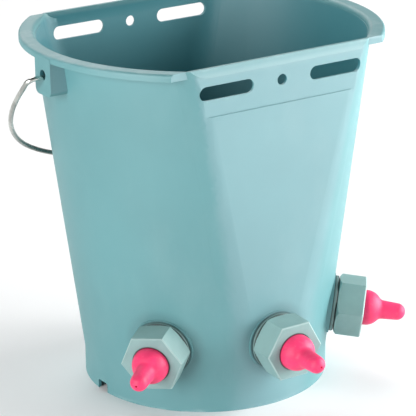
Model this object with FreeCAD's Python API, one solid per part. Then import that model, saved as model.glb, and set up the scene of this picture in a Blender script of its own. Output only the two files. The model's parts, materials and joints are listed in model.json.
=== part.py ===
"""Lamb feeding bucket with three teats, a wire bail and a pair of slotted hanging flats.

Millimetres, +Z up.  The origin is the middle of the foot circle, on the ground.
+X runs from lug to lug.  The teats look towards -Y, and +Y is the side that hangs on a hurdle.
"""
import FreeCAD, Part
import math
import os

V = FreeCAD.Vector

# Bucket shell, driving sizes
HEIGHT = 300.0            # ground to the top of the mouth
TOP_RADIUS = 139.0        # outside of the round ends at the mouth
TAPER = 35.5              # radius lost from the mouth to the foot
WALL = 2.7                # moulded wall
FOOT_HEIGHT = 21.0        # height of the foot cylinder
FLOOR_HEIGHT = 18.0       # underside of the floor above the ground
END_ANGLE = 39.0          # round end, each side of the X axis
FLAT_INSET = 23.5         # outside of the flats within the round ends' circle, at the mouth
CORNER_RADIUS = 25.0      # bend between a flat and its diagonal facet, at the mouth
FOOT_FACET_ANGLE = 69.0   # where a facet ends on the foot circle
FOOT_CORNER_ANGLE = 84.0  # where a corner bend ends on the foot circle
NOTCH_WIDTH = 14.0        # drain notch in the foot, at both ends of X
NOTCH_HEIGHT = 8.0
NOTCH_CORNER = 2.0

# Rim
RIM_REACH = 11.0          # outside of the turned-down rim beyond the wall
RIM_LIP = 6.0             # height of the turned-down lip
RIM_BEND = 2.5            # outside bend of the lip
MOUTH_BEND = 4.0          # inside bend from the wall into the rim
RIM_FILLET = 1.0          # slope under the rim, beyond the wall
RIM_END_INSET = 4.5       # each end of the rim inside the flats
RIM_WEB = 2.5             # web that closes each end of the rim
STRIP_HEIGHT = 7.0        # top of each flat that leans inwards
STRIP_LEAN = 2.8          # how far it leans

# Hanging slots and holes
SLOT_DROP = 19.5          # middle of the slots below the mouth
SLOT_X = 52.0             # middle of each slot
SLOT_LENGTH = 50.0
SLOT_WIDTH = 11.5
HOLE_RADIUS = 4.5         # round hole between the slots
BAND_DROP = 39.0          # lower edge of the recessed band below the mouth
BAND_DEPTH = 0.8

# Bail lugs
LUG_WIDTH = 24.0
LUG_DEPTH = 34.0          # from the mouth down to the foot of the lug
LUG_PLATE = 3.0
LUG_WEB = 2.5
LUG_CORNER = 5.0
LUG_HOLE_RADIUS = 4.3
LUG_HOLE_DROP = 17.5      # middle of the hole below the mouth

# Bail
WIRE_RADIUS = 2.0
BAIL_GAP = 13.0           # middle of a leg outside the rim
BAIL_LEG = 22.0           # straight leg below the hinge line
BAIL_SIDE_CENTRE = 33.0   # centre of the bend from a leg into the crown, from the bow's middle
BAIL_CROWN_EXTRA = 17.0   # radius of the crown over the half width
BAIL_BEND = 6.0           # bend from the bow into the pivot stub
BAIL_ANGLE_LIMITS = (38.0, 60.0)  # search for the angle where the bow meets the back flat
BAIL_ANGLE_STEPS = 14
HOOK_BEND = 3.2
HOOK_REACH = 5.6          # end of the hook from the hinge line
HOOK_INSET = 8.5          # hook's middle behind the outer face of the lug
CLEARANCE = 0.3           # between pieces that move or hang against each other
OVERRUN = 1.0             # how far a cutter, or the root of a fused piece, runs past a face

# Teat stations
STATION_HEIGHT = 57.5
SIDE_AZIMUTH = 52.0       # side teats from the middle one
PAD_PROUD = 0.6           # flat seat above the wall
PAD_RADIUS = 25.6
PAD_THICKNESS = 6.2       # local wall, seat to seat
HOLE_CLEARANCE = 0.4

# Valve body, teat and nut, measured along the teat from the outer seat
THREAD_RADIUS = 19.0
THREAD_CLEARANCE = 0.15
FLANGE_RADIUS = 25.0
FLANGE_THICKNESS = 3.0
SEAL_THICKNESS = 2.0
BODY_END = 19.4           # mouth of the valve body
CHAMBER_RADIUS = 11.0
INLET_RADIUS = 5.5
SEAT_EDGE = -1.6          # inner edge of the cone seat
SEAT_DEPTH = 2.0
BALL_RADIUS = 7.0
BALL_TRAVEL = 2.7
RIB_COUNT = 4
RIB_WIDTH = 2.0
RETAINER_THICKNESS = 2.5
RETAINER_RIM = 2.2
RETAINER_HUB = 3.0
RETAINER_SPOKE = 2.0
RETAINER_SPOKES = 3
COLLAR_RADIUS = 23.7
COLLAR_THICKNESS = 3.4
COLLAR_CHAMFER = 0.8
THREAD_SHOWING = 0.6      # bare thread between the collar and the nut
NUT_FLATS = 46.0          # across the flats
NUT_LENGTH = 23.0
NUT_FACE = 4.0            # wall of the nut around the teat
NUT_CHAMFER = 0.9         # bevel of the face's edges
NUT_CORNER_DROP = 2.2     # cone that takes off the six corners at the collar
NUT_CONE_MARGIN = 0.3     # the cone starts this far outside the flats
NUT_TURN = {"left": 23.0, "centre": 30.0, "right": 18.0}
TEAT_FLANGE_RADIUS = 18.0
TEAT_FLANGE = 3.2
TEAT_RADIUS = 15.0
TEAT_WALL = 3.0
TEAT_REACH = 35.8         # tip beyond the nut
TEAT_BULB = 2.0           # straight part of the bulb beyond the nut
TEAT_NECK = 16.8          # where the bulb has narrowed to the nipple
BULB_BEND = 13.7          # radius of the bulb's dome
NIPPLE_ROOT = 7.9
NIPPLE_TIP = 7.2
NIPPLE_BORE = 4.0
TEAT_ORIFICE = 0.9

# Sizes that follow
FOOT_RADIUS = TOP_RADIUS - TAPER
FLAT_Y = TOP_RADIUS - FLAT_INSET
RIM_RADIUS = TOP_RADIUS + RIM_REACH
RIM_END_Y = FLAT_Y - RIM_END_INSET
BAIL_HALF_WIDTH = RIM_RADIUS + BAIL_GAP
BAIL_SIDE_RADIUS = BAIL_HALF_WIDTH - BAIL_SIDE_CENTRE
BAIL_CROWN_RADIUS = BAIL_HALF_WIDTH + BAIL_CROWN_EXTRA
FLOOR_TOP = FLOOR_HEIGHT + WALL
WALL_RUN = HEIGHT - FOOT_HEIGHT
NUT_START = COLLAR_THICKNESS + THREAD_SHOWING
NUT_END = NUT_START + NUT_LENGTH
SEATED_BALL = SEAT_EDGE + math.sqrt(BALL_RADIUS ** 2 - INLET_RADIUS ** 2) + CLEARANCE
REST_BALL = SEATED_BALL + BALL_TRAVEL
RETAINER_START = REST_BALL + BALL_RADIUS + CLEARANCE
FLANGE_SEAT = -PAD_THICKNESS - SEAL_THICKNESS
LUG_HOLE_Z = HEIGHT - LUG_HOLE_DROP
HINGE_Z = LUG_HOLE_Z - LUG_HOLE_RADIUS + WIRE_RADIUS + CLEARANCE
BAIL_TURN = math.acos(BAIL_SIDE_CENTRE / (BAIL_CROWN_RADIUS - BAIL_SIDE_RADIUS))
BAIL_CROWN_CENTRE = BAIL_LEG - (BAIL_CROWN_RADIUS - BAIL_SIDE_RADIUS) * math.sin(BAIL_TURN)
BAIL_DROP = BAIL_CROWN_CENTRE + BAIL_CROWN_RADIUS


def polar(radius, degrees, z=0.0):
    """A point at a radius and an angle from +X."""
    angle = math.radians(degrees)
    return V(radius * math.cos(angle), radius * math.sin(angle), z)


def box(x0, x1, y0, y1, z0, z1):
    """A box between two corners."""
    return Part.makeBox(x1 - x0, y1 - y0, z1 - z0, V(x0, y0, z0))


def revolved(edges):
    """A full turn about Z of a closed profile in the XZ plane."""
    return Part.Face(Part.Wire(edges)).revolve(V(0, 0, 0), V(0, 0, 1), 360)


def lathe(points):
    """A full turn about Z of a straight-sided profile of (radius, height) points."""
    corners = [V(r, 0, z) for r, z in points]
    return revolved(Part.makePolygon(corners + corners[:1]).Edges)


def arc(a, b, c):
    """An edge on the circle through three points."""
    return Part.Arc(a, b, c).toShape()


def line(a, b):
    """A straight edge."""
    return Part.LineSegment(a, b).toShape()


def quarter_points(z, inset, at_foot):
    """The joints and mid points of a quarter of the outline, from +X round to +Y."""
    if at_foot:
        radius = FOOT_RADIUS - inset
        angles = (END_ANGLE, FOOT_FACET_ANGLE, FOOT_CORNER_ANGLE)
        joints = [polar(radius, a, z) for a in angles]
        facet_mid = polar(radius, (angles[0] + angles[1]) / 2, z)
        corner_mid = polar(radius, (angles[1] + angles[2]) / 2, z)
        return joints, facet_mid, corner_mid
    radius = TOP_RADIUS - inset
    flat = FLAT_Y - inset
    bend = CORNER_RADIUS - inset
    turn = math.radians(90.0 - END_ANGLE)
    start = polar(radius, END_ANGLE, z)
    along = V(-math.sin(math.radians(END_ANGLE)), math.cos(math.radians(END_ANGLE)), 0)
    sharp = start + along * ((flat - start.y) / along.y)
    tangent = bend * math.tan(turn / 2)
    facet_end = sharp - along * tangent
    flat_start = V(sharp.x - tangent, flat, z)
    centre = V(flat_start.x, flat - bend, z)
    middle = math.radians((END_ANGLE + 90.0) / 2)
    corner_mid = centre + V(math.cos(middle), math.sin(middle), 0) * bend
    return [start, facet_end, flat_start], (start + facet_end) * 0.5, corner_mid


def mirror(point, sx, sy):
    """The same point in another quarter."""
    return V(point.x * sx, point.y * sy, point.z)


def outline(z, inset, at_foot):
    """One closed outline: round ends, diagonal facets, corner bends and flats."""
    joints, facet_mid, corner_mid = quarter_points(z, inset, at_foot)
    radius = (FOOT_RADIUS if at_foot else TOP_RADIUS) - inset
    start, facet_end, flat_start = joints
    edges = []
    for sx in (1, -1):
        low = mirror(start, sx, -sx)
        high = mirror(start, sx, sx)
        edges.append(arc(low, V(sx * radius, 0, z), high))
        for forward in (True, False):
            qx = sx if forward else -sx
            run = [mirror(p, qx, sx) for p in (start, facet_mid, facet_end, corner_mid, flat_start)]
            pieces = [(run[0], run[1], run[2]), (run[2], run[3], run[4])]
            if not forward:
                pieces = [(c, b, a) for a, b, c in reversed(pieces)]
            if forward:
                edges += [side_edge(*pieces[0]), arc(*pieces[1])]
                edges.append(flat_edge(run[4], mirror(flat_start, -sx, sx), radius, sx, at_foot))
            else:
                edges += [arc(*pieces[0]), side_edge(*pieces[1])]
    return Part.Wire(edges)


def side_edge(a, middle, b):
    """An arc, or a straight edge where its middle lies on the chord."""
    if (middle - (a + b) * 0.5).Length < 1e-6:
        return line(a, b)
    return arc(a, middle, b)


def flat_edge(a, b, radius, sy, at_foot):
    """The edge of a flat, which is an arc of the foot circle at its foot."""
    if at_foot:
        return arc(a, V(0, sy * radius, a.z), b)
    return line(a, b)


def shell_block(inset, foot_z, top_z):
    """A solid between the foot outline and the mouth outline, stretched up to top_z."""
    low = outline(FOOT_HEIGHT, inset, True)
    high = outline(HEIGHT, inset, False)
    body = Part.makeLoft([low, high], True, True)
    foot = Part.makeCylinder(FOOT_RADIUS - inset, FOOT_HEIGHT - foot_z, V(0, 0, foot_z))
    body = body.fuse(foot)
    if top_z > HEIGHT:
        lid = Part.Face(high).extrude(V(0, 0, top_z - HEIGHT))
        body = body.fuse(lid)
    return body


def strip_wedge(side, face_y, reach):
    """The wedge outside the leaning top strip of a flat."""
    base = HEIGHT - STRIP_HEIGHT
    corners = [
        V(-reach, side * face_y, base),
        V(-reach, side * (face_y - STRIP_LEAN), HEIGHT),
        V(-reach, side * (face_y - STRIP_LEAN), HEIGHT + STRIP_HEIGHT),
        V(-reach, side * (face_y + STRIP_HEIGHT), HEIGHT + STRIP_HEIGHT),
        V(-reach, side * (face_y + STRIP_HEIGHT), base),
    ]
    return Part.Face(Part.makePolygon(corners + corners[:1])).extrude(V(2 * reach, 0, 0))


def flat_face_y(z):
    """Outside of a flat on the YZ plane at a height."""
    return FOOT_RADIUS + (FLAT_Y - FOOT_RADIUS) * (z - FOOT_HEIGHT) / WALL_RUN


def rim():
    """The turned-down rim of the round ends, cut off at the flats and closed there by webs."""
    top = HEIGHT
    under = HEIGHT - WALL
    hem = HEIGHT - RIM_LIP
    root = TOP_RADIUS - WALL
    edge = RIM_RADIUS
    bend = RIM_BEND
    turn = bend * math.sqrt(0.5)
    over = [
        line(V(root, 0, top), V(edge - bend, 0, top)),
        arc(V(edge - bend, 0, top), V(edge - bend + turn, 0, top - bend + turn), V(edge, 0, top - bend)),
        line(V(edge, 0, top - bend), V(edge, 0, hem)),
    ]
    hollow = [
        line(V(edge, 0, hem), V(edge - WALL, 0, hem)),
        line(V(edge - WALL, 0, hem), V(edge - WALL, 0, under)),
        line(V(edge - WALL, 0, under), V(TOP_RADIUS + RIM_FILLET, 0, under)),
        line(V(TOP_RADIUS + RIM_FILLET, 0, under), V(root, 0, under - MOUTH_BEND)),
        line(V(root, 0, under - MOUTH_BEND), V(root, 0, top)),
    ]
    filled = [line(V(edge, 0, hem), V(root, 0, hem)), line(V(root, 0, hem), V(root, 0, top))]
    reach = RIM_RADIUS + OVERRUN
    span = box(-reach, reach, -RIM_END_Y, RIM_END_Y, 0, HEIGHT + OVERRUN)
    between = RIM_END_Y - RIM_WEB
    webs = revolved(over + filled).common(span)
    webs = webs.cut(box(-reach, reach, -between, between, 0, HEIGHT + OVERRUN))
    return revolved(over + hollow).common(span).fuse(webs)


def mouth_bend():
    """The ring that is cut away to round the mouth's inside edge at the round ends."""
    start = V(TOP_RADIUS - WALL, 0, HEIGHT - MOUTH_BEND)
    end = V(start.x + MOUTH_BEND, 0, HEIGHT)
    inner = start.x - OVERRUN
    turn = MOUTH_BEND * (1 - math.sqrt(0.5))
    above = HEIGHT + MOUTH_BEND
    profile = [
        arc(start, V(start.x + turn, 0, HEIGHT - turn), end),
        line(end, V(end.x, 0, above)),
        line(V(end.x, 0, above), V(inner, 0, above)),
        line(V(inner, 0, above), V(inner, 0, start.z)),
        line(V(inner, 0, start.z), start),
    ]
    ring = revolved(profile)
    limit = FLAT_Y - WALL - STRIP_LEAN
    return ring.common(box(-RIM_RADIUS, RIM_RADIUS, -limit, limit, 0, above + OVERRUN))


def lug(side):
    """One bail lug: an outer plate on two webs, open below."""
    base = HEIGHT - LUG_DEPTH
    outer = side * RIM_RADIUS
    half = LUG_WIDTH / 2
    inner = side * FOOT_RADIUS
    block = box(min(outer, inner), max(outer, inner), -half, half, base, HEIGHT - WALL)
    corner_edges = []
    for edge in block.Edges:
        middle = edge.CenterOfMass
        if abs(middle.z - base) < 1e-6 and abs(abs(middle.y) - half) < 1e-6:
            corner_edges.append(edge)
    block = block.makeFillet(LUG_CORNER, corner_edges)
    plate = outer - side * LUG_PLATE
    room_half = half - LUG_WEB
    room = box(min(plate, inner), max(plate, inner), -room_half, room_half, base - OVERRUN, HEIGHT)
    return block.cut(room)


def lug_hole():
    """The two bail holes in one cutter."""
    reach = RIM_RADIUS + OVERRUN
    rod = Part.makeCylinder(LUG_HOLE_RADIUS, 2 * reach, V(-reach, 0, LUG_HOLE_Z), V(1, 0, 0))
    inside = RIM_RADIUS - LUG_PLATE - OVERRUN
    return rod.cut(box(-inside, inside, -LUG_WIDTH, LUG_WIDTH, 0, HEIGHT))


def cross_rod(radius, x):
    """A cylinder through both flats at the height of the slots."""
    reach = FLAT_Y + OVERRUN
    return Part.makeCylinder(radius, 2 * reach, V(x, -reach, HEIGHT - SLOT_DROP), V(0, 1, 0))


def slot_cutter(x):
    """One round-ended hanging slot through both flats."""
    end = SLOT_WIDTH / 2
    half = SLOT_LENGTH / 2 - end
    z = HEIGHT - SLOT_DROP
    reach = FLAT_Y + OVERRUN
    middle = box(x - half, x + half, -reach, reach, z - end, z + end)
    return middle.fuse([cross_rod(end, x - half), cross_rod(end, x + half)])


def band_cutter(side):
    """The slab outside the recessed band that holds the slots."""
    low = HEIGHT - BAND_DROP
    high = HEIGHT - STRIP_HEIGHT
    faces = [(z, flat_face_y(z) - BAND_DEPTH) for z in (low, high)]
    reach = TOP_RADIUS
    corners = [
        V(-reach, side * faces[0][1], low),
        V(-reach, side * faces[1][1], high),
        V(-reach, side * (FLAT_Y + OVERRUN), high),
        V(-reach, side * (FLAT_Y + OVERRUN), low),
    ]
    return Part.Face(Part.makePolygon(corners + corners[:1])).extrude(V(2 * reach, 0, 0))


def notch_cutter():
    """The drain notches at both ends of X."""
    half = NOTCH_WIDTH / 2
    reach = FOOT_RADIUS + OVERRUN
    block = box(-reach, reach, -half, half, -OVERRUN, NOTCH_HEIGHT)
    tops = [e for e in block.Edges if e.Length > reach and e.CenterOfMass.z > 0]
    return block.makeFillet(NOTCH_CORNER, tops)


def wall_slope(azimuth):
    """Slope of the wall from upright, in degrees, and the wall's outside distance at a station."""
    top = FLAT_Y if azimuth == -90.0 else TOP_RADIUS
    slope = math.degrees(math.atan((top - FOOT_RADIUS) / WALL_RUN))
    reach = FOOT_RADIUS + (top - FOOT_RADIUS) * (STATION_HEIGHT - FOOT_HEIGHT) / WALL_RUN
    return slope, reach


def station_placement(azimuth):
    """Local +Z along the teat, local +X the upward side, origin on the outer seat."""
    slope, reach = wall_slope(azimuth)
    a = math.radians(azimuth)
    t = math.radians(slope)
    out = V(math.cos(a) * math.cos(t), math.sin(a) * math.cos(t), -math.sin(t))
    up = V(math.cos(a) * math.sin(t), math.sin(a) * math.sin(t), math.cos(t))
    origin = polar(reach, azimuth, STATION_HEIGHT) + out * PAD_PROUD
    turn = FreeCAD.Rotation(up, out.cross(up), out, "ZXY")
    return FreeCAD.Placement(origin, turn)


def placed(shape, placement):
    """A copy of a shape moved to a station."""
    copy = shape.copy()
    copy.Placement = placement.multiply(copy.Placement)
    return copy


def bucket_body(stations):
    """The one-piece moulded bucket."""
    body = shell_block(0.0, 0.0, HEIGHT)
    for side in (1, -1):
        body = body.cut(strip_wedge(side, FLAT_Y, TOP_RADIUS + WALL))
        body = body.cut(band_cutter(side))
    body = body.fuse(rim())
    for side in (1, -1):
        body = body.fuse(lug(side))
    inside = shell_block(WALL, FLOOR_TOP, HEIGHT + MOUTH_BEND)
    for side in (1, -1):
        inside = inside.cut(strip_wedge(side, FLAT_Y - WALL, TOP_RADIUS + WALL))
    for placement in stations.values():
        pad = placed(Part.makeCylinder(PAD_RADIUS, PAD_THICKNESS, V(0, 0, -PAD_THICKNESS)), placement)
        body = body.fuse(pad)
        inside = inside.cut(pad)
    body = body.cut(inside)
    body = body.cut(mouth_bend())
    under = Part.makeCylinder(FOOT_RADIUS - WALL, FLOOR_HEIGHT + OVERRUN, V(0, 0, -OVERRUN))
    body = body.cut(under)
    cutters = [notch_cutter(), lug_hole()]
    cutters += [slot_cutter(SLOT_X), slot_cutter(-SLOT_X), cross_rod(HOLE_RADIUS, 0)]
    hole = Part.makeCylinder(THREAD_RADIUS + HOLE_CLEARANCE, 3 * PAD_THICKNESS, V(0, 0, -2 * PAD_THICKNESS))
    cutters += [placed(hole, placement) for placement in stations.values()]
    for cutter in cutters:
        body = body.cut(cutter)
    return body.removeSplitter()


def swung(shape, degrees):
    """A copy of the bail or its bow, swung to an angle from hanging straight down."""
    copy = shape.copy()
    copy.rotate(V(0, 0, 0), V(1, 0, 0), degrees)
    copy.translate(V(0, 0, HINGE_Z))
    return copy


def rest_angle(bow):
    """The angle at which the bow comes to lie on the back flat, a clearance off it."""
    block = shell_block(0.0, 0.0, HEIGHT)
    low, high = BAIL_ANGLE_LIMITS
    for _ in range(BAIL_ANGLE_STEPS):
        middle = (low + high) / 2
        gap = swung(bow, middle).distToShape(block)[0] - WIRE_RADIUS
        if gap < CLEARANCE:
            low = middle
        else:
            high = middle
    return high


def bail_side(side):
    """The edges of one side of the bow, from the hook's tip to the crown's start."""
    hook_x = RIM_RADIUS - HOOK_INSET
    short = 1 - math.sqrt(0.5)
    half = BAIL_TURN / 2
    tip = V(side * hook_x, 0, -HOOK_REACH)
    bend_low = V(side * hook_x, 0, -HOOK_BEND)
    bend_mid = V(side * (hook_x + HOOK_BEND * short), 0, -HOOK_BEND * short)
    bend_out = V(side * (hook_x + HOOK_BEND), 0, 0)
    stub_end = V(side * (BAIL_HALF_WIDTH - BAIL_BEND), 0, 0)
    turn_mid = V(side * (BAIL_HALF_WIDTH - BAIL_BEND * short), 0, -BAIL_BEND * short)
    leg_top = V(side * BAIL_HALF_WIDTH, 0, -BAIL_BEND)
    leg_end = V(side * BAIL_HALF_WIDTH, 0, -BAIL_LEG)
    side_mid = V(
        side * (BAIL_SIDE_CENTRE + BAIL_SIDE_RADIUS * math.cos(half)),
        0,
        -BAIL_LEG - BAIL_SIDE_RADIUS * math.sin(half),
    )
    side_end = V(
        side * (BAIL_SIDE_CENTRE + BAIL_SIDE_RADIUS * math.cos(BAIL_TURN)),
        0,
        -BAIL_LEG - BAIL_SIDE_RADIUS * math.sin(BAIL_TURN),
    )
    edges = [
        line(tip, bend_low),
        arc(bend_low, bend_mid, bend_out),
        line(bend_out, stub_end),
        arc(stub_end, turn_mid, leg_top),
        line(leg_top, leg_end),
        arc(leg_end, side_mid, side_end),
    ]
    return edges, tip, side_end


def bail_wire():
    """Bow, pivot stubs and retaining hooks of one bent wire, laid on the back flat."""
    left_edges, tip, left_end = bail_side(-1)
    right_edges, _, right_end = bail_side(1)
    crown = arc(left_end, V(0, 0, -BAIL_DROP), right_end)
    spine = Part.Wire(left_edges + [crown] + list(reversed(right_edges)))
    section = Part.Wire(Part.makeCircle(WIRE_RADIUS, tip, V(0, 0, 1)))
    wire = spine.makePipeShell([section], True, False)
    bow = Part.Wire([left_edges[-1], crown, right_edges[-1]])
    angle = rest_angle(bow)
    print("hinge height", HINGE_Z, "rest angle", angle, "crown", swung(bow, angle).BoundBox)
    return swung(wire, angle)


def valve_body():
    """Threaded valve body with its inner flange, cone seat and ball guide ribs."""
    tail = FLANGE_SEAT - FLANGE_THICKNESS
    cone_end = SEAT_EDGE + SEAT_DEPTH
    body = lathe([
        (INLET_RADIUS, tail),
        (FLANGE_RADIUS, tail),
        (FLANGE_RADIUS, FLANGE_SEAT),
        (THREAD_RADIUS, FLANGE_SEAT),
        (THREAD_RADIUS, BODY_END),
        (CHAMBER_RADIUS, BODY_END),
        (CHAMBER_RADIUS, cone_end),
        (INLET_RADIUS + SEAT_DEPTH, cone_end),
        (INLET_RADIUS, SEAT_EDGE),
    ])
    guide = BALL_RADIUS + CLEARANCE
    for index in range(RIB_COUNT):
        rib = box(guide, CHAMBER_RADIUS + OVERRUN, -RIB_WIDTH / 2, RIB_WIDTH / 2, cone_end, RETAINER_START)
        rib.rotate(V(0, 0, 0), V(0, 0, 1), 360.0 * index / RIB_COUNT)
        body = body.fuse(rib)
    return body.removeSplitter()


def inner_seal():
    """Rubber washer between the valve body's flange and the inside seat."""
    inner = THREAD_RADIUS + THREAD_CLEARANCE
    return lathe([
        (inner, FLANGE_SEAT),
        (FLANGE_RADIUS, FLANGE_SEAT),
        (FLANGE_RADIUS, -PAD_THICKNESS),
        (inner, -PAD_THICKNESS),
    ])


def lock_collar():
    """Round lock ring screwed down on the outer seat."""
    inner = THREAD_RADIUS + THREAD_CLEARANCE
    return lathe([
        (inner, 0),
        (COLLAR_RADIUS, 0),
        (COLLAR_RADIUS, COLLAR_THICKNESS - COLLAR_CHAMFER),
        (COLLAR_RADIUS - COLLAR_CHAMFER, COLLAR_THICKNESS),
        (inner, COLLAR_THICKNESS),
    ])


def hex_nut(turn):
    """Union nut that clamps the teat's flange on the valve body's mouth."""
    corner = NUT_FLATS / 2 / math.cos(math.radians(30))
    points = [polar(corner, turn + 60 * k, NUT_START) for k in range(6)]
    blank = Part.Face(Part.makePolygon(points + points[:1])).extrude(V(0, 0, NUT_LENGTH))
    face_edges = [e for e in blank.Edges if abs(e.BoundBox.ZMin - NUT_END) < 1e-6]
    blank = blank.makeChamfer(NUT_CHAMFER, face_edges)
    outer = corner + OVERRUN
    cone_start = NUT_FLATS / 2 + NUT_CONE_MARGIN
    cone_slope = NUT_CORNER_DROP / (corner - cone_start)
    turned = lathe([
        (0, NUT_START),
        (cone_start, NUT_START),
        (outer, NUT_START + cone_slope * (outer - cone_start)),
        (outer, NUT_END),
        (0, NUT_END),
    ])
    bore = THREAD_RADIUS + THREAD_CLEARANCE
    shoulder = NUT_END - NUT_FACE
    room = lathe([
        (0, NUT_START - OVERRUN),
        (bore, NUT_START - OVERRUN),
        (bore, shoulder),
        (TEAT_RADIUS + CLEARANCE, shoulder),
        (TEAT_RADIUS + CLEARANCE, NUT_END + OVERRUN),
        (0, NUT_END + OVERRUN),
    ])
    return blank.common(turned).cut(room)


def bulb_points(bulb, neck):
    """Mid and end of the bulb's dome, mid of the neck's bend and the nipple's root."""
    run = neck - bulb
    turn = 2 * math.atan2(TEAT_RADIUS - NIPPLE_ROOT, run)
    neck_bend = run / math.sin(turn) - BULB_BEND
    dome = []
    for part in (turn / 2, turn):
        dome.append(V(TEAT_RADIUS - BULB_BEND * (1 - math.cos(part)), 0, bulb + BULB_BEND * math.sin(part)))
    half = turn / 2
    bend = V(NIPPLE_ROOT + neck_bend * (1 - math.cos(half)), 0, neck - neck_bend * math.sin(half))
    return dome + [bend, V(NIPPLE_ROOT, 0, neck)]


def teat():
    """Hollow rubber teat: clamped flange, domed bulb and nipple."""
    base = BODY_END
    seat = base + TEAT_FLANGE
    bulb = NUT_END + TEAT_BULB
    neck = NUT_END + TEAT_NECK
    tip = NUT_END + TEAT_REACH
    dome_mid, dome_end, neck_mid, root = bulb_points(bulb, neck)
    round_start = tip - NIPPLE_TIP
    turn = NIPPLE_TIP * math.sqrt(0.5)
    mouth = V(TEAT_ORIFICE, 0, round_start + math.sqrt(NIPPLE_TIP ** 2 - TEAT_ORIFICE ** 2))
    throat = V(TEAT_ORIFICE, 0, tip - TEAT_WALL)
    bore_end = V(NIPPLE_BORE, 0, tip - TEAT_WALL - NIPPLE_BORE)
    inner = TEAT_RADIUS - TEAT_WALL
    end = V(NIPPLE_TIP, 0, round_start)
    profile = [
        line(V(inner, 0, base), V(TEAT_FLANGE_RADIUS, 0, base)),
        line(V(TEAT_FLANGE_RADIUS, 0, base), V(TEAT_FLANGE_RADIUS, 0, seat)),
        line(V(TEAT_FLANGE_RADIUS, 0, seat), V(TEAT_RADIUS, 0, seat)),
        line(V(TEAT_RADIUS, 0, seat), V(TEAT_RADIUS, 0, bulb)),
        arc(V(TEAT_RADIUS, 0, bulb), dome_mid, dome_end),
        arc(dome_end, neck_mid, root),
        line(root, end),
        arc(end, V(turn, 0, round_start + turn), mouth),
        line(mouth, throat),
        line(throat, bore_end),
        line(bore_end, V(NIPPLE_BORE, 0, neck)),
        line(V(NIPPLE_BORE, 0, neck), V(inner, 0, bulb)),
        line(V(inner, 0, bulb), V(inner, 0, base)),
    ]
    return revolved(profile)


def valve_ball():
    """The floating ball, rolled out against its retainer."""
    return Part.makeSphere(BALL_RADIUS, V(0, 0, REST_BALL))


def ball_retainer():
    """Spoked ring pressed into the valve body to keep the ball in."""
    start = RETAINER_START
    end = start + RETAINER_THICKNESS
    rim_inner = CHAMBER_RADIUS - RETAINER_RIM
    ring = lathe([(rim_inner, start), (CHAMBER_RADIUS, start), (CHAMBER_RADIUS, end), (rim_inner, end)])
    ring = ring.fuse(Part.makeCylinder(RETAINER_HUB, RETAINER_THICKNESS, V(0, 0, start)))
    for index in range(RETAINER_SPOKES):
        spoke = box(0, rim_inner + OVERRUN, -RETAINER_SPOKE / 2, RETAINER_SPOKE / 2, start, end)
        spoke.rotate(V(0, 0, 0), V(0, 0, 1), 360.0 * index / RETAINER_SPOKES + 180.0 / RIB_COUNT)
        ring = ring.fuse(spoke)
    return ring.removeSplitter()


def main():
    """Build every piece and write one file per piece."""
    os.makedirs("parts", exist_ok=True)
    azimuths = {"left": -90.0 - SIDE_AZIMUTH, "centre": -90.0, "right": -90.0 + SIDE_AZIMUTH}
    stations = {name: station_placement(azimuth) for name, azimuth in azimuths.items()}
    shapes = {"bucket_body": bucket_body(stations), "bail_wire": bail_wire()}
    for name, placement in stations.items():
        pieces = {
            "valve_body": valve_body(),
            "inner_seal": inner_seal(),
            "lock_collar": lock_collar(),
            "hex_nut": hex_nut(NUT_TURN[name]),
            "teat": teat(),
            "valve_ball": valve_ball(),
            "ball_retainer": ball_retainer(),
        }
        for piece, shape in pieces.items():
            shapes[piece + "_" + name] = placed(shape, placement)
    for node, shape in shapes.items():
        print(node, "solids", len(shape.Solids), "valid", shape.isValid(), "volume", round(shape.Volume, 1))
        shape.exportStep("parts/" + node + ".step")
    for name, placement in stations.items():
        out = placement.Rotation.multVec(V(0, 0, 1))
        print(name, "seat", placement.Base, "axis", out)


main()
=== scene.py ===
"""Lamb feeding bucket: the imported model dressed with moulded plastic, rubber and zinc wire.

Metres, in the row frame.  The frame is loaded at the top, so that sizes can come from it.
"""
import json
import math

import bmesh
import bpy
from mathutils import Matrix, Vector


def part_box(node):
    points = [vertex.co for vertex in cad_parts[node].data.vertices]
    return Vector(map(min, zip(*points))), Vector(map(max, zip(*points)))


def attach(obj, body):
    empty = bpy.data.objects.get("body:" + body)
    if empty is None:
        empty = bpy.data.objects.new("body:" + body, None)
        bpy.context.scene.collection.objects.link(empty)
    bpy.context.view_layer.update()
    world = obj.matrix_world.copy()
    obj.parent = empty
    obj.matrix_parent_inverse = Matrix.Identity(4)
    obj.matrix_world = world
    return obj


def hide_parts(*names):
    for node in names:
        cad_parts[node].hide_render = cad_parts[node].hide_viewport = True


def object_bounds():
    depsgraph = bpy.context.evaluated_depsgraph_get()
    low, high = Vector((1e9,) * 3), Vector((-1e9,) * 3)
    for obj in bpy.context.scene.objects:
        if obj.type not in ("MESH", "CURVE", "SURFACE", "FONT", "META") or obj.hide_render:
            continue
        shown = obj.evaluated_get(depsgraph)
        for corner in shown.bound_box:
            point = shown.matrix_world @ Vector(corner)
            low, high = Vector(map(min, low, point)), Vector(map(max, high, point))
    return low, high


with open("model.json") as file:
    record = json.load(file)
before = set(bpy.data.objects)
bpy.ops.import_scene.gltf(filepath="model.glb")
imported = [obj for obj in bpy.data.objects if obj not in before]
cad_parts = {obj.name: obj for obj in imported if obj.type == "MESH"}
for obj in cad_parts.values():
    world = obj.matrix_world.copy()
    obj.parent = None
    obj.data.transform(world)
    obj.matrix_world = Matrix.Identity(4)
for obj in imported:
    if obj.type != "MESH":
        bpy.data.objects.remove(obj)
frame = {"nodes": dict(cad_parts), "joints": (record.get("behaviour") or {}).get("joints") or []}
CAD_BOX = [list(corner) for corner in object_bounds()]

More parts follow.
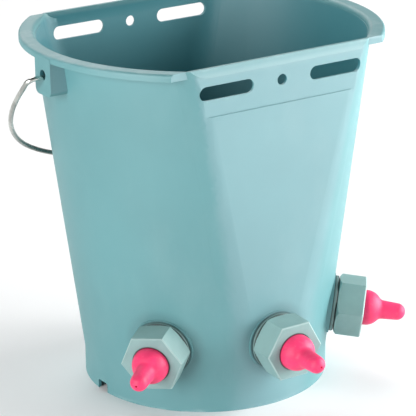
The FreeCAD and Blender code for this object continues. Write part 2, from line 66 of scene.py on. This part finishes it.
bl_info = {
    "name": "Lamb feeding bucket",
    "version": (1, 0, 0),
    "blender": (4, 5, 0),
    "location": "3D View > Sidebar > Bucket",
    "description": "Finishes for a bucket with three teats, its bail and the studio round it",
    "category": "Object",
}

STATIONS = ("left", "centre", "right")

# Places on the bucket, in metres
MOUTH = CAD_BOX[1][2]
FLAT_DEPTH = 0.1150       # outside of the flats at the mouth, from the middle
HALO_RADIUS = 0.0360      # how far the painted shade round a lock ring reaches
EDGE_RADIUS = 0.0251      # its darkest part, just past the lock ring
TEAT_RADIUS = 0.0150
FACE_BEVEL = 0.0009       # slope round the outer face of a nut

# Lights: azimuth and elevation in degrees, distance and side in metres
LIGHTS = {
    "left_light": (-74, 12, 2.3, 1.6),
    "front_light": (50, 9, 1.4, 1.2),
    "right_light": (75, 14, 2.3, 1.6),
    "back_light": (165, 45, 2.3, 1.6),
}
LIGHT_AIM = (0.0, 0.0, 0.15)

# Floor, in metres
FLOOR_RADIUS = 5.0        # where it starts to turn up
EDGE_BEND = 1.5
EDGE_HEIGHT = 4.0
EDGE_STEPS = 8
FLOOR_STEPS = 96


# Places taken from the frame
def station_line(station):
    """The middle of a station's ball, and the way in which its teat points."""
    joint = next(joint for joint in frame["joints"] if joint["name"] == "ball_float_" + station)
    low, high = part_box("valve_ball_" + station)
    return (Vector(low) + Vector(high)) / 2, -Vector(joint["axis"]).normalized()


def reach(node, line):
    """Where a node starts and ends along a station's line, in metres from the ball's middle."""
    start, way = line
    places = [(vertex.co - start).dot(way) for vertex in frame["nodes"][node].data.vertices]
    return min(places), max(places)


LINES = {station: station_line(station) for station in STATIONS}


# Colours
def darker(colour, share):
    """A colour with each part times a share."""
    return tuple(part * share for part in colour)


def paler(colour, share):
    """A colour moved towards white by a share."""
    return tuple(part + (1.0 - part) * share for part in colour)


# Shader expressions
class Value:
    """A socket's result, which takes part in sums, differences and products."""

    def __init__(self, graph, socket):
        self.graph = graph
        self.socket = socket

    def is_wide(self):
        """True for a colour or a vector, which need Vector Math."""
        return self.socket.type in {"RGBA", "VECTOR"}

    def combine(self, operation, first, second):
        """One Math node, or one Vector Math node where either side is a colour or a vector."""
        sides = [first, second]
        wide = any(isinstance(side, Value) and side.is_wide() for side in sides)
        if not wide:
            return self.graph.node("ShaderNodeMath", {"operation": operation}, {0: first, 1: second})
        sides = [(side,) * 3 if isinstance(side, (int, float)) else side for side in sides]
        return self.graph.node("ShaderNodeVectorMath", {"operation": operation}, {0: sides[0], 1: sides[1]})

    def __add__(self, other):
        return self.combine("ADD", self, other)

    __radd__ = __add__

    def __sub__(self, other):
        return self.combine("SUBTRACT", self, other)

    def __rsub__(self, other):
        return self.combine("SUBTRACT", other, self)

    def __mul__(self, other):
        return self.combine("MULTIPLY", self, other)

    __rmul__ = __mul__


class Graph:
    """The node tree of one material, with one way to add a node."""

    def __init__(self, name):
        self.material = bpy.data.materials.new(name)
        self.material.use_nodes = True
        self.tree = self.material.node_tree
        self.tree.nodes.clear()

    def node(self, kind, settings=None, sockets=None, output=0):
        """Adds a node with its settings and its sockets' values or links, and gives one output."""
        made = self.tree.nodes.new(kind)
        for key, value in (settings or {}).items():
            setattr(made, key, value)
        for key, value in (sockets or {}).items():
            if isinstance(value, Value):
                self.tree.links.new(value.socket, made.inputs[key])
            else:
                made.inputs[key].default_value = value
        return Value(self, made.outputs[output]) if made.outputs else None

    def place(self):
        """Where a point lies in the row frame, in metres."""
        return self.node("ShaderNodeTexCoord", output="Object")

    def facing(self):
        """Which way the surface faces."""
        return self.node("ShaderNodeTexCoord", output="Normal")

    def unsigned(self, value):
        """A value without its sign."""
        return self.node("ShaderNodeMath", {"operation": "ABSOLUTE"}, {0: value})

    def split(self, vector, axis):
        """One part of a vector."""
        return self.node("ShaderNodeSeparateXYZ", {}, {0: vector}, axis)

    def stretched(self, vector, scale):
        """A vector scaled by a different amount along each axis."""
        return self.node("ShaderNodeMapping", {}, {"Vector": vector, "Scale": scale})

    def around(self, place, line):
        """How far a place lies from a station's line, and where along it, in metres."""
        start, way = line
        offset = place - tuple(start)
        cross = self.node("ShaderNodeVectorMath", {"operation": "CROSS_PRODUCT"}, {0: offset, 1: way})
        across = self.node("ShaderNodeVectorMath", {"operation": "LENGTH"}, {0: cross}, "Value")
        along = self.node("ShaderNodeVectorMath", {"operation": "DOT_PRODUCT"}, {0: offset, 1: way}, "Value")
        return across, along

    def noise(self, vector, scale, detail=2.0, roughness=0.5):
        """Soft noise from 0 to 1, with scale in bumps per metre."""
        sockets = {"Vector": vector, "Scale": scale, "Detail": detail, "Roughness": roughness}
        return self.node("ShaderNodeTexNoise", {}, sockets, "Fac")

    def between(self, value, low, high):
        """0 below low, 1 above high and a smooth step from one to the other; low may be the higher."""
        sockets = {"Value": value, "From Min": low, "From Max": high}
        return self.node("ShaderNodeMapRange", {"interpolation_type": "SMOOTHSTEP"}, sockets)

    def mix(self, factor, first, second):
        """A blend from the first colour to the second."""
        sides = [side if isinstance(side, Value) else (*side[:3], 1.0) for side in (first, second)]
        return self.node("ShaderNodeMix", {"data_type": "RGBA"}, {0: factor, 6: sides[0], 7: sides[1]}, 2)

    def bump(self, height, distance, strength=1.0, under=None):
        """A normal tilted by a height field, where distance is its full height in metres."""
        sockets = {"Height": height, "Distance": distance, "Strength": strength}
        if under is not None:
            sockets["Normal"] = under
        return self.node("ShaderNodeBump", {}, sockets)

    def finish(self, **sockets):
        """Closes the tree with one Principled shader and returns the material."""
        named = {}
        for key, value in sockets.items():
            named[key.replace("_", " ").title().replace("Ior", "IOR")] = value
        shader = self.node("ShaderNodeBsdfPrincipled", {}, named)
        self.node("ShaderNodeOutputMaterial", {}, {"Surface": shader})
        return self.material


# Finishes
def scuffs(g, place, height):
    """Where the ground has scuffed the foot and hands have scuffed the brim."""
    patches = g.between(g.noise(g.stretched(place, (40.0, 40.0, 160.0)), 1.0, 4.0, 0.65), 0.45, 0.7)
    foot = g.between(height, 0.004, 0.0)
    brim = g.between(height, MOUTH - 0.0025, MOUTH - 0.0005)
    return (foot + brim * 0.6) * patches


def lock_ring_shade(g, place, line):
    """Painted shade round one lock ring: a dark edge and a faint halo.

    The mask is a whole cylinder round the station's line, so it also darkens the far wall.
    """
    across = g.around(place, line)[0]
    halo = g.between(across, HALO_RADIUS, HALO_RADIUS - 0.0098)
    edge = g.between(across, EDGE_RADIUS, EDGE_RADIUS - 0.0008)
    return halo * 0.20 + edge * 0.45


def zones(g, place, height):
    """The inside, the outside of the flats and the strips over them, each from 0 to 1: where the painted
    shade, sheen and light go.
    """
    facing = g.facing()
    across, depth = g.split(facing, 1), g.split(place, 1)
    outward = g.split(facing, 0) * g.split(place, 0) + across * depth
    inside = g.between(outward, 0.004, -0.004) * g.between(height, MOUTH - 0.0015, MOUTH - 0.006)
    flats = g.between(g.unsigned(across), 0.90, 0.985) * (1.0 - inside)
    strips = g.between(g.unsigned(depth), FLAT_DEPTH - 0.0015, FLAT_DEPTH)
    strips = strips * g.between(height, MOUTH - 0.012, MOUTH - 0.0055)
    return inside, flats, strips


def bucket_plastic(look):
    """Satin moulded polypropylene: clouded, grained and scratched, with a painted sheen on the flats,
    painted light on the strips over them and painted shade inside and round the lock rings.
    """
    g = Graph("bucket_plastic")
    place = g.place()
    height = g.split(place, 2)
    clouds = g.noise(place, 9.0, 3.0)
    flow = g.noise(g.stretched(place, (22.0, 22.0, 12.0)), 1.0, 4.0, 0.6)
    hairs = g.between(g.noise(g.stretched(place, (900.0, 900.0, 18.0)), 1.0, 2.0), 0.69, 0.75)
    worn = scuffs(g, place, height) * look.wear
    inside, flats, strips = zones(g, place, height)
    base = tuple(look.bucket_colour)
    pale = paler(base, 0.32)
    # Colour of the painted sheen on the flats, standing in for the pale floor they reflect
    painted_sheen = (0.50, 0.46, 0.57)
    # Colour of the painted shade inside the bucket
    shaded = (base[0] * 0.35, base[1] * 0.72, base[2] * 0.80)
    colour = g.mix(g.between(clouds, 0.3, 0.7), darker(base, 0.93), base)
    colour = g.mix(g.between(flow, 0.45, 0.75) * 0.06, colour, pale)
    colour = g.mix(worn + hairs * 0.05, colour, pale)
    # Painted sheen on the flats
    colour = g.mix(flats * 0.10, colour, painted_sheen)
    # Painted light: the strips over the flats paled as if lit from above
    colour = g.mix(strips * 0.14, colour, pale)
    # Painted shade inside the bucket
    colour = g.mix(inside * 0.8, colour, shaded)
    # Painted shade round each lock ring
    for line in LINES.values():
        colour = g.mix(lock_ring_shade(g, place, line), colour, darker(base, 0.22))
    rough = look.bucket_roughness + (flow - 0.5) * 0.10 + worn * 0.18 + hairs * 0.06
    normal = g.bump(g.noise(place, 16.0, 1.0), 0.0009, 0.35)
    normal = g.bump(g.noise(place, 1900.0, 2.0), 0.00004, 0.5, normal)
    normal = g.bump(hairs, 0.00003, 0.4, normal)
    return g.finish(
        base_color=colour, roughness=rough, normal=normal, ior=1.49, specular_ior_level=0.9,
        subsurface_weight=0.06, subsurface_radius=(1.0, 1.1, 1.1), subsurface_scale=0.003,
    )


def fitting_plastic(look, station):
    """Harder plastic of nuts and valve bodies, greyer than the bucket, with a painted highlight round the
    nut's face and painted shade at its bore.
    """
    g = Graph("fitting_plastic_" + station)
    place = g.place()
    across, along = g.around(place, LINES[station])
    face = reach("hex_nut_" + station, LINES[station])[1]
    slope = face - FACE_BEVEL
    # Painted highlight on the slope round the nut's outer face
    face_bevel_highlight = g.between(along, slope - 0.0003, slope + 0.0001)
    face_bevel_highlight = face_bevel_highlight * g.between(along, face - 0.00002, face - 0.00012)
    # Painted shade in the gap round the teat, at the nut's bore
    ring = g.between(across, TEAT_RADIUS + 0.0016, TEAT_RADIUS + 0.0004)
    ring = ring * g.between(along, slope - 0.0003, face - 0.0003)
    clouds = g.noise(place, 55.0, 3.0)
    specks = g.between(g.noise(place, 1300.0, 1.0), 0.66, 0.74)
    swirl = g.noise(g.stretched(place, (120.0, 60.0, 60.0)), 1.0, 4.0, 0.6)
    base = tuple(look.fitting_colour)
    # The wear setting also scales the painted highlight on the face bevel
    pale_share = g.between(swirl, 0.5, 0.8) * 0.12 + specks * 0.06 + face_bevel_highlight * look.wear
    colour = g.mix(g.between(clouds, 0.25, 0.75), darker(base, 0.90), base)
    colour = g.mix(pale_share, colour, paler(base, 0.25))
    colour = g.mix(ring * 0.85, colour, darker(base, 0.12))
    rough = 0.40 + (swirl - 0.5) * 0.16
    normal = g.bump(g.noise(place, 2600.0, 2.0), 0.00004, 0.6)
    normal = g.bump(clouds, 0.0004, 0.3, normal)
    return g.finish(
        base_color=colour, roughness=rough, normal=normal, ior=1.5,
        subsurface_weight=0.04, subsurface_radius=(1.0, 1.0, 1.0), subsurface_scale=0.002,
    )


def collar_plastic(look, station):
    """The lock ring's plastic: a darker copy of the fittings' colour and darker still in the gaps on both
    sides, both painted shade, with specks of dust.
    """
    g = Graph("collar_plastic_" + station)
    place = g.place()
    along = g.around(place, LINES[station])[1]
    inner, outer = reach("lock_collar_" + station, LINES[station])
    # Painted shade in the gaps on both sides of the ring
    gap_shade = g.between(along, inner + 0.0012, inner + 0.0005)
    gap_shade = gap_shade + g.between(along, outer - 0.0012, outer - 0.0006)
    dust = g.noise(place, 190.0, 3.0, 0.6)
    # A darker copy of the fittings' colour: painted shade over the whole lock ring
    base = darker(look.fitting_colour, 0.62)
    colour = g.mix(g.between(dust, 0.3, 0.7) * 0.3, base, darker(base, 0.7))
    colour = g.mix(gap_shade * 0.85, colour, darker(base, 0.15))
    normal = g.bump(dust, 0.0001, 0.5)
    return g.finish(base_color=colour, roughness=0.5 + (dust - 0.5) * 0.2, normal=normal)


def teat_rubber(look, station):
    """Soft pink rubber: translucent, faintly bloomed, finely grained, with painted shade at its root."""
    g = Graph("teat_rubber_" + station)
    place = g.place()
    along = g.around(place, LINES[station])[1]
    face = reach("hex_nut_" + station, LINES[station])[1]
    # Painted shade where the teat meets the nut's face
    root = g.between(along, face + 0.0009, face + 0.0001)
    clouds = g.noise(place, 70.0, 2.0)
    bloom = g.noise(place, 320.0, 3.0, 0.6)
    base = tuple(look.teat_colour)
    colour = g.mix(g.between(clouds, 0.25, 0.75), darker(base, 0.82), base)
    colour = g.mix(g.between(bloom, 0.5, 0.8) * 0.25, colour, paler(base, 0.14))
    colour = g.mix(root * 0.8, colour, darker(base, 0.12))
    rough = 0.50 + (bloom - 0.5) * 0.2
    normal = g.bump(g.noise(place, 1500.0, 2.0), 0.00005, 0.6)
    normal = g.bump(clouds, 0.0003, 0.3, normal)
    return g.finish(
        base_color=colour, roughness=rough, normal=normal, ior=1.45,
        subsurface_weight=0.12, subsurface_radius=(1.0, 0.25, 0.3), subsurface_scale=0.004,
    )


def seal_rubber(look):
    """Plain dark rubber of the washers inside."""
    g = Graph("seal_rubber")
    place = g.place()
    dust = g.noise(place, 260.0, 3.0, 0.6)
    dark = tuple(look.seal_colour)
    dusty = tuple(c + 0.06 for c in dark)
    colour = g.mix(g.between(dust, 0.45, 0.8), dark, dusty)
    normal = g.bump(g.noise(place, 1800.0), 0.00006, 0.6)
    return g.finish(base_color=colour, roughness=0.6 + (dust - 0.5) * 0.2, normal=normal)


def valve_plastic(look):
    """Hard white plastic of the balls and their retainers."""
    g = Graph("valve_plastic")
    rub = g.noise(g.place(), 180.0, 4.0, 0.6)
    white = tuple(look.valve_colour)
    colour = g.mix(g.between(rub, 0.4, 0.75), white, darker(white, 0.88))
    normal = g.bump(rub, 0.00005, 0.4)
    return g.finish(base_color=colour, roughness=0.22 + g.between(rub, 0.45, 0.8) * 0.2, normal=normal)


def zinc_wire(look):
    """Bright zinc on drawn wire, with dull patches, a few pale bloom spots, and darker towards the bottom.
    """
    g = Graph("zinc_wire")
    place = g.place()
    patches = g.noise(place, 45.0, 4.0, 0.6)
    bloom = g.between(g.noise(place, 500.0, 3.0, 0.6), 0.62, 0.72) * look.wear
    # Darker towards the bottom of the bail
    darker_low = g.between(g.split(place, 2), 0.222, 0.188)
    zinc = tuple(look.wire_colour)
    colour = g.mix(g.between(patches, 0.35, 0.7), zinc, darker(zinc, 0.72))
    colour = g.mix(bloom * 0.5, colour, (0.74, 0.74, 0.70))
    colour = g.mix(darker_low * 0.8, colour, (0.13, 0.145, 0.13))
    rough = 0.20 + g.between(patches, 0.3, 0.75) * 0.16 + bloom * 0.25
    normal = g.bump(g.noise(place, 1400.0, 2.0), 0.00002, 0.6)
    return g.finish(base_color=colour, metallic=1.0 - bloom * 0.6, roughness=rough, normal=normal)


def floor_paint(studio):
    """Matt pale floor with a hardly visible grain, whose far upturned edge glows."""
    g = Graph("floor_paint")
    place = g.place()
    grain = g.noise(place, 30.0, 3.0)
    shade = tuple(studio.floor_colour)
    colour = g.mix(grain, shade, darker(shade, 0.985))
    distance = g.node("ShaderNodeVectorMath", {"operation": "LENGTH"}, {0: place}, "Value")
    edge = g.between(distance, FLOOR_RADIUS - 1.0, FLOOR_RADIUS + 0.5)
    glow = g.mix(edge, (0.0, 0.0, 0.0), (1.0, 1.0, 1.0))
    return g.finish(
        base_color=colour, roughness=0.9, normal=g.bump(grain, 0.0002, 0.2),
        emission_color=glow, emission_strength=studio.glow,
    )


# Helpers for the pieces
def wear(piece, material, slot=None):
    """Gives a piece its only material; the slot argument is not used."""
    piece.data.materials.clear()
    piece.data.materials.append(material)


def soften(piece, radius, angle=30.0):
    """Rounds a CAD piece's sharp edges and evens its shading, without touching its mesh."""
    piece.data.shade_smooth()
    weld = piece.modifiers.new("weld", "WELD")
    weld.merge_threshold = 0.00001
    bevel = piece.modifiers.new("edges", "BEVEL")
    bevel.width = radius
    bevel.segments = 3
    bevel.limit_method = "ANGLE"
    bevel.angle_limit = math.radians(angle)
    bevel.harden_normals = True
    bevel.use_clamp_overlap = True
    even = piece.modifiers.new("even", "WEIGHTED_NORMAL")
    even.keep_sharp = True


# What a user would change
class BucketLook(bpy.types.PropertyGroup):
    """Colours and finishes of the feeder."""

    bucket_colour: bpy.props.FloatVectorProperty(
        name="Bucket", description="Colour of the moulded bucket", subtype="COLOR",
        size=3, min=0.0, max=1.0, default=(0.110, 0.300, 0.320))
    fitting_colour: bpy.props.FloatVectorProperty(
        name="Fittings", description="Colour of the nuts, lock rings and valve bodies", subtype="COLOR",
        size=3, min=0.0, max=1.0, default=(0.245, 0.405, 0.395))
    teat_colour: bpy.props.FloatVectorProperty(
        name="Teats", description="Colour of the rubber teats", subtype="COLOR",
        size=3, min=0.0, max=1.0, default=(0.95, 0.045, 0.17))
    seal_colour: bpy.props.FloatVectorProperty(
        name="Seals", description="Colour of the washers inside", subtype="COLOR",
        size=3, min=0.0, max=1.0, default=(0.022, 0.022, 0.022))
    valve_colour: bpy.props.FloatVectorProperty(
        name="Valve balls", description="Colour of the balls and their retainers", subtype="COLOR",
        size=3, min=0.0, max=1.0, default=(0.78, 0.79, 0.76))
    wire_colour: bpy.props.FloatVectorProperty(
        name="Bail", description="Colour of the zinc on the wire", subtype="COLOR",
        size=3, min=0.0, max=1.0, default=(0.70, 0.72, 0.68))
    bucket_roughness: bpy.props.FloatProperty(
        name="Bucket roughness", description="Roughness of the moulded skin", subtype="FACTOR",
        min=0.1, max=1.0, default=0.50)
    # Wear also scales the painted highlight on the nuts' face bevels
    wear: bpy.props.FloatProperty(
        name="Wear", description="Scuffs on the foot and the brim, and bloom on the wire", subtype="FACTOR",
        min=0.0, max=1.0, default=0.5)
    edge_radius: bpy.props.FloatProperty(
        name="Edge radius", description="Rounding of the bucket's moulded edges", unit="LENGTH",
        min=0.0001, max=0.002, default=0.0006)
    left_nut_turn: bpy.props.FloatProperty(
        name="Left nut", description="How far the left nut is screwed round from the packed one",
        subtype="ANGLE", default=math.radians(14.0))
    right_nut_turn: bpy.props.FloatProperty(
        name="Right nut", description="How far the right nut is screwed round from the packed one",
        subtype="ANGLE", default=math.radians(8.0))


class StudioLook(bpy.types.PropertyGroup):
    """The camera, lights and floor."""

    camera_place: bpy.props.FloatVectorProperty(
        name="Camera", description="Where the camera stands", subtype="TRANSLATION", unit="LENGTH",
        size=3, default=(-0.9372, -1.4297, 0.7435))
    camera_target: bpy.props.FloatVectorProperty(
        name="Target", description="What the camera looks at", subtype="TRANSLATION", unit="LENGTH",
        size=3, default=(0.0, 0.0, 0.140))
    camera_roll: bpy.props.FloatProperty(
        name="Roll", description="Turn of the camera about its own line of sight", subtype="ANGLE",
        default=math.radians(-0.67))
    lens: bpy.props.FloatProperty(
        name="Lens", description="Focal length on a 36 mm sensor, in millimetres", min=20.0, max=400.0,
        default=185.8)
    shift: bpy.props.FloatVectorProperty(
        name="Shift", description="Shift of the picture, as a share of the sensor", size=2,
        default=(0.01014, 0.0032))
    left_power: bpy.props.FloatProperty(
        name="Left light", description="Power of the large light on the left", unit="POWER",
        min=0.0, default=53.0)
    front_power: bpy.props.FloatProperty(
        name="Front light", description="Power of the low panel in front on the right", unit="POWER",
        min=0.0, default=27.0)
    right_power: bpy.props.FloatProperty(
        name="Right light", description="Power of the large light on the right", unit="POWER",
        min=0.0, default=52.0)
    back_power: bpy.props.FloatProperty(
        name="Back light", description="Power of the high light behind", unit="POWER",
        min=0.0, default=30.0)
    sky: bpy.props.FloatProperty(
        name="Surroundings", description="Brightness of the white surroundings", min=0.0, default=0.02)
    glow: bpy.props.FloatProperty(
        name="Far edge", description="Brightness of the floor's upturned edge, far behind the bucket",
        min=0.0, default=0.15)
    floor_colour: bpy.props.FloatVectorProperty(
        name="Floor", description="Colour of the floor and its upturned edge", subtype="COLOR",
        size=3, min=0.0, max=1.0, default=(0.90, 0.90, 0.90))


# Steps
class BUCKET_OT_body(bpy.types.Operator):
    """Rounds the edges of the bucket and gives it its satin plastic"""

    bl_idname = "bucket.dress_body"
    bl_label = "Bucket body"

    def execute(self, context):
        look = context.scene.bucket_look
        body = frame["nodes"]["bucket_body"]
        soften(body, look.edge_radius)
        wear(body, bucket_plastic(look))
        return {"FINISHED"}


class BUCKET_OT_bail(bpy.types.Operator):
    """Gives the bail its zinc"""

    bl_idname = "bucket.dress_bail"
    bl_label = "Wire bail"

    def execute(self, context):
        bail = frame["nodes"]["bail_wire"]
        soften(bail, 0.0003, 60.0)
        wear(bail, zinc_wire(context.scene.bucket_look))
        return {"FINISHED"}


def turned_nut(station, turn):
    """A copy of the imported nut, screwed round on its thread, that stands for it."""
    start, way = LINES[station]
    mesh = frame["nodes"]["hex_nut_" + station].data.copy()
    mesh.transform(Matrix.Translation(start) @ Matrix.Rotation(turn, 4, way) @ Matrix.Translation(-start))
    nut = bpy.data.objects.new("turned_nut_" + station, mesh)
    bpy.context.scene.collection.objects.link(nut)
    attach(nut, "bucket")
    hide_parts("hex_nut_" + station)
    return nut


class BUCKET_OT_fittings(bpy.types.Operator):
    """Turns the side nuts and finishes the union nuts, lock rings and valve bodies"""

    bl_idname = "bucket.dress_fittings"
    bl_label = "Nuts, rings and valve bodies"

    def execute(self, context):
        look = context.scene.bucket_look
        turns = {"left": look.left_nut_turn, "right": look.right_nut_turn}
        nodes = frame["nodes"]
        for station in STATIONS:
            nut = nodes["hex_nut_" + station]
            if station in turns:
                nut = turned_nut(station, turns[station])
            plastic = fitting_plastic(look, station)
            finishes = (
                (nut, plastic),
                (nodes["valve_body_" + station], plastic),
                (nodes["lock_collar_" + station], collar_plastic(look, station)),
            )
            for piece, material in finishes:
                soften(piece, 0.00035)
                wear(piece, material, "fittings")
        return {"FINISHED"}


class BUCKET_OT_teats(bpy.types.Operator):
    """Finishes the rubber teats"""

    bl_idname = "bucket.dress_teats"
    bl_label = "Teats"

    def execute(self, context):
        for station in STATIONS:
            piece = frame["nodes"]["teat_" + station]
            soften(piece, 0.0003, 40.0)
            wear(piece, teat_rubber(context.scene.bucket_look, station))
        return {"FINISHED"}


class BUCKET_OT_valves(bpy.types.Operator):
    """Finishes the balls, their retainers and the washers"""

    bl_idname = "bucket.dress_valves"
    bl_label = "Balls, retainers and washers"

    def execute(self, context):
        look = context.scene.bucket_look
        white, black = valve_plastic(look), seal_rubber(look)
        for station in STATIONS:
            for kind, material in (("valve_ball", white), ("ball_retainer", white), ("inner_seal", black)):
                piece = frame["nodes"][kind + "_" + station]
                soften(piece, 0.0003, 40.0)
                wear(piece, material)
        return {"FINISHED"}


def area_light(name, power):
    """A soft square light that looks at the bucket and stays out of the picture."""
    azimuth, elevation, distance, side = LIGHTS[name]
    turn, rise = math.radians(azimuth), math.radians(elevation)
    away = Vector((math.sin(turn) * math.cos(rise), -math.cos(turn) * math.cos(rise), math.sin(rise)))
    lamp = bpy.data.lights.new(name, "AREA")
    lamp.size = side
    lamp.energy = power
    light = bpy.data.objects.new(name, lamp)
    light.location = Vector(LIGHT_AIM) + away * distance
    light.rotation_euler = (-away).to_track_quat("-Z", "Y").to_euler()
    light.visible_camera = False
    bpy.context.scene.collection.objects.link(light)


def studio_floor(studio):
    """A round floor whose edge turns up far outside the view."""
    profile = [(0.0, 0.0), (1.0, 0.0), (3.0, 0.0)]
    for step in range(EDGE_STEPS + 1):
        turn = math.pi / 2 * step / EDGE_STEPS
        profile.append((FLOOR_RADIUS + EDGE_BEND * math.sin(turn), EDGE_BEND * (1.0 - math.cos(turn))))
    profile.append((FLOOR_RADIUS + EDGE_BEND, EDGE_HEIGHT))
    mesh = bpy.data.meshes.new("studio_floor")
    bm = bmesh.new()
    verts = [bm.verts.new((radius, 0.0, height)) for radius, height in profile]
    edges = [bm.edges.new(pair) for pair in zip(verts, verts[1:])]
    bmesh.ops.spin(bm, geom=verts + edges, axis=(0, 0, 1), angle=math.tau, steps=FLOOR_STEPS)
    bmesh.ops.remove_doubles(bm, verts=bm.verts, dist=0.0001)
    bmesh.ops.recalc_face_normals(bm, faces=bm.faces)
    bm.to_mesh(mesh)
    bm.free()
    mesh.shade_smooth()
    floor = bpy.data.objects.new("studio_floor", mesh)
    bpy.context.scene.collection.objects.link(floor)
    wear(floor, floor_paint(studio))


class BUCKET_OT_studio(bpy.types.Operator):
    """Puts up the camera, the lights and the pale floor"""

    bl_idname = "bucket.put_up_studio"
    bl_label = "Studio"

    def execute(self, context):
        scene = context.scene
        studio = scene.studio_look
        scene.view_settings.view_transform = "Standard"
        camera = bpy.data.objects.new("camera", bpy.data.cameras.new("camera"))
        scene.collection.objects.link(camera)
        place, target = Vector(studio.camera_place), Vector(studio.camera_target)
        aim = (target - place).to_track_quat("-Z", "Y").to_matrix()
        turned = aim @ Matrix.Rotation(studio.camera_roll, 3, "Z")
        camera.matrix_world = Matrix.Translation(place) @ turned.to_4x4()
        camera.data.lens = studio.lens
        camera.data.shift_x, camera.data.shift_y = studio.shift
        camera.data.clip_start, camera.data.clip_end = 0.05, 50.0
        scene.camera = camera
        area_light("left_light", studio.left_power)
        area_light("front_light", studio.front_power)
        area_light("right_light", studio.right_power)
        area_light("back_light", studio.back_power)
        world = bpy.data.worlds.new("surroundings")
        world.use_nodes = True
        backdrop = world.node_tree.nodes["Background"]
        backdrop.inputs["Color"].default_value = (1.0, 1.0, 1.0, 1.0)
        backdrop.inputs["Strength"].default_value = studio.sky
        scene.world = world
        studio_floor(studio)
        return {"FINISHED"}


class VIEW3D_PT_lamb_bucket(bpy.types.Panel):
    """Sizes, colours and steps of the feeder"""

    bl_label = "Lamb feeding bucket"
    bl_space_type = "VIEW_3D"
    bl_region_type = "UI"
    bl_category = "Bucket"

    def draw(self, context):
        for group in (context.scene.bucket_look, context.scene.studio_look):
            column = self.layout.column()
            for name in group.bl_rna.properties.keys():
                if name not in {"rna_type", "name"}:
                    column.prop(group, name)
        for operator in OPERATORS:
            self.layout.operator(operator.bl_idname)


OPERATORS = (
    BUCKET_OT_body,
    BUCKET_OT_bail,
    BUCKET_OT_fittings,
    BUCKET_OT_teats,
    BUCKET_OT_valves,
    BUCKET_OT_studio,
)
CLASSES = (BucketLook, StudioLook, *OPERATORS, VIEW3D_PT_lamb_bucket)


def register():
    """Makes the groups, operators and panel known to Blender."""
    for cls in CLASSES:
        bpy.utils.register_class(cls)
    bpy.types.Scene.bucket_look = bpy.props.PointerProperty(type=BucketLook)
    bpy.types.Scene.studio_look = bpy.props.PointerProperty(type=StudioLook)


def unregister():
    """Takes them back out, last first."""
    del bpy.types.Scene.studio_look
    del bpy.types.Scene.bucket_look
    for cls in reversed(CLASSES):
        bpy.utils.unregister_class(cls)


def main():
    """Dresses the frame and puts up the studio."""
    register()
    bpy.ops.bucket.dress_body()
    bpy.ops.bucket.dress_bail()
    bpy.ops.bucket.dress_fittings()
    bpy.ops.bucket.dress_teats()
    bpy.ops.bucket.dress_valves()
    bpy.ops.bucket.put_up_studio()
    bpy.context.view_layer.update()


if __name__ == "__main__":
    main()
